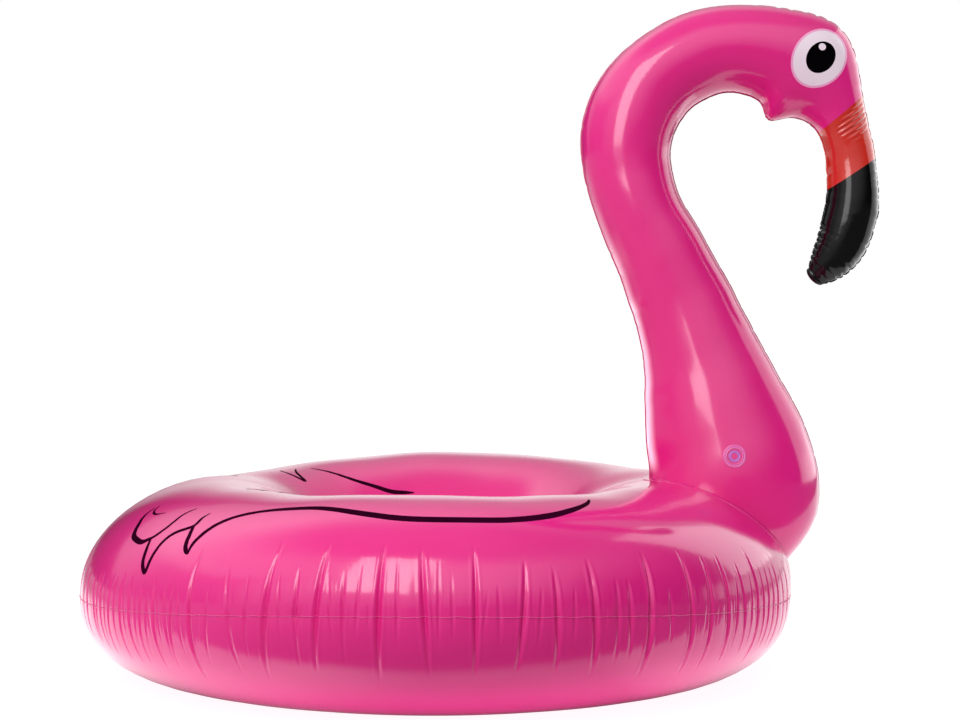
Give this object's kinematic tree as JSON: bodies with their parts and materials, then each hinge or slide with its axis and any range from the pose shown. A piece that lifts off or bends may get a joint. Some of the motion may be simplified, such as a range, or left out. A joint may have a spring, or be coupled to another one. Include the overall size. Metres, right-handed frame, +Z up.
{
  "type": "inflatable pool float",
  "caption": "Ring-shaped inflatable float with an upright curved bird neck and head, welded film panels, and push-in air valves on ring and neck.",
  "frame": {"origin": "centre of the ring on the plane of its flat underside", "axes": "+X from the ring's centre towards the head, +Y the bird's left, +Z up"},
  "size_m": [1.226, 1.084, 1.0273],
  "materials": {
    "pink_film": "glossy soft vinyl film, hot pink, slightly translucent",
    "pink_weld": "welded vinyl edge, slightly rumpled",
    "orange_film": "glossy soft vinyl film, orange red",
    "black_film": "glossy soft vinyl film, black",
    "white_ink": "white ink on the film",
    "black_ink": "black ink on the film",
    "valve_vinyl": "soft moulded vinyl, pale and cloudy",
    "flap_vinyl": "clear soft vinyl disc"
  },
  "bodies": {
    "float": {"ring_upper_sheet": "pink_film", "ring_lower_sheet": "pink_film", "ring_outer_weld": "pink_weld", "ring_inner_weld": "pink_weld", "neck_foot_weld": "pink_weld", "neck_foot_left": "pink_film", "neck_foot_right": "pink_film", "ring_valve_flange": "valve_vinyl", "ring_valve_skirt": "valve_vinyl"},
    "neck": {"neck_panel_left": "pink_film", "neck_panel_right": "pink_film", "beak_band_left": "orange_film", "beak_band_right": "orange_film", "beak_tip_left": "black_film", "beak_tip_right": "black_film", "eye_white_left": "white_ink", "eye_white_right": "white_ink", "eye_pupil_left": "black_ink", "eye_pupil_right": "black_ink", "eye_glint_left": "white_ink", "eye_glint_right": "white_ink", "neck_valve_flange": "valve_vinyl", "neck_valve_skirt": "valve_vinyl"},
    "ring_valve_stem": {"ring_valve_stem": "valve_vinyl", "ring_valve_tether": "valve_vinyl"},
    "ring_valve_stopper": {"ring_valve_stopper": "valve_vinyl"},
    "ring_valve_flap": {"ring_valve_flap": "flap_vinyl"},
    "neck_valve_stem": {"neck_valve_stem": "valve_vinyl", "neck_valve_tether": "valve_vinyl"},
    "neck_valve_stopper": {"neck_valve_stopper": "valve_vinyl"},
    "neck_valve_flap": {"neck_valve_flap": "flap_vinyl"}
  },
  "joints": [
    {"name": "neck_sway", "type": "hinge", "parent": "float", "child": "neck", "pos_m": [0.447, 0, 0.3], "axis": [0, 1, 0], "range_deg": [-8, 8], "stiffness_Nm_per_rad": 25, "deforming": ["neck_foot_left", "neck_foot_right"]},
    {"name": "ring_valve_pop_out", "type": "slide", "parent": "float", "child": "ring_valve_stem", "axis": [-0.2839, 0.5339, 0.7965], "range_m": [0, 0.012], "deforming": ["ring_valve_skirt"]},
    {"name": "ring_valve_stopper_pull", "type": "slide", "parent": "ring_valve_stem", "child": "ring_valve_stopper", "axis": [-0.2839, 0.5339, 0.7965], "range_m": [0, 0.014], "deforming": ["ring_valve_tether"]},
    {"name": "ring_valve_flap_swing", "type": "hinge", "parent": "ring_valve_stem", "child": "ring_valve_flap", "pos_m": [-0.2221, 0.41771, 0.22756], "axis": [0.8829, 0.4695, 0], "range_deg": [0, 50], "stiffness_Nm_per_rad": 0.002},
    {"name": "neck_valve_pop_out", "type": "slide", "parent": "neck", "child": "neck_valve_stem", "axis": [-0.0469, -0.9902, 0.1316], "range_m": [0, 0.012], "deforming": ["neck_valve_skirt"]},
    {"name": "neck_valve_stopper_pull", "type": "slide", "parent": "neck_valve_stem", "child": "neck_valve_stopper", "axis": [-0.0469, -0.9902, 0.1316], "range_m": [0, 0.014], "deforming": ["neck_valve_tether"]},
    {"name": "neck_valve_flap_swing", "type": "hinge", "parent": "neck_valve_stem", "child": "neck_valve_flap", "pos_m": [0.44811, -0.07931, 0.32364], "axis": [-0.9989, 0.0474, 0], "range_deg": [0, 50], "stiffness_Nm_per_rad": 0.002}
  ]
}
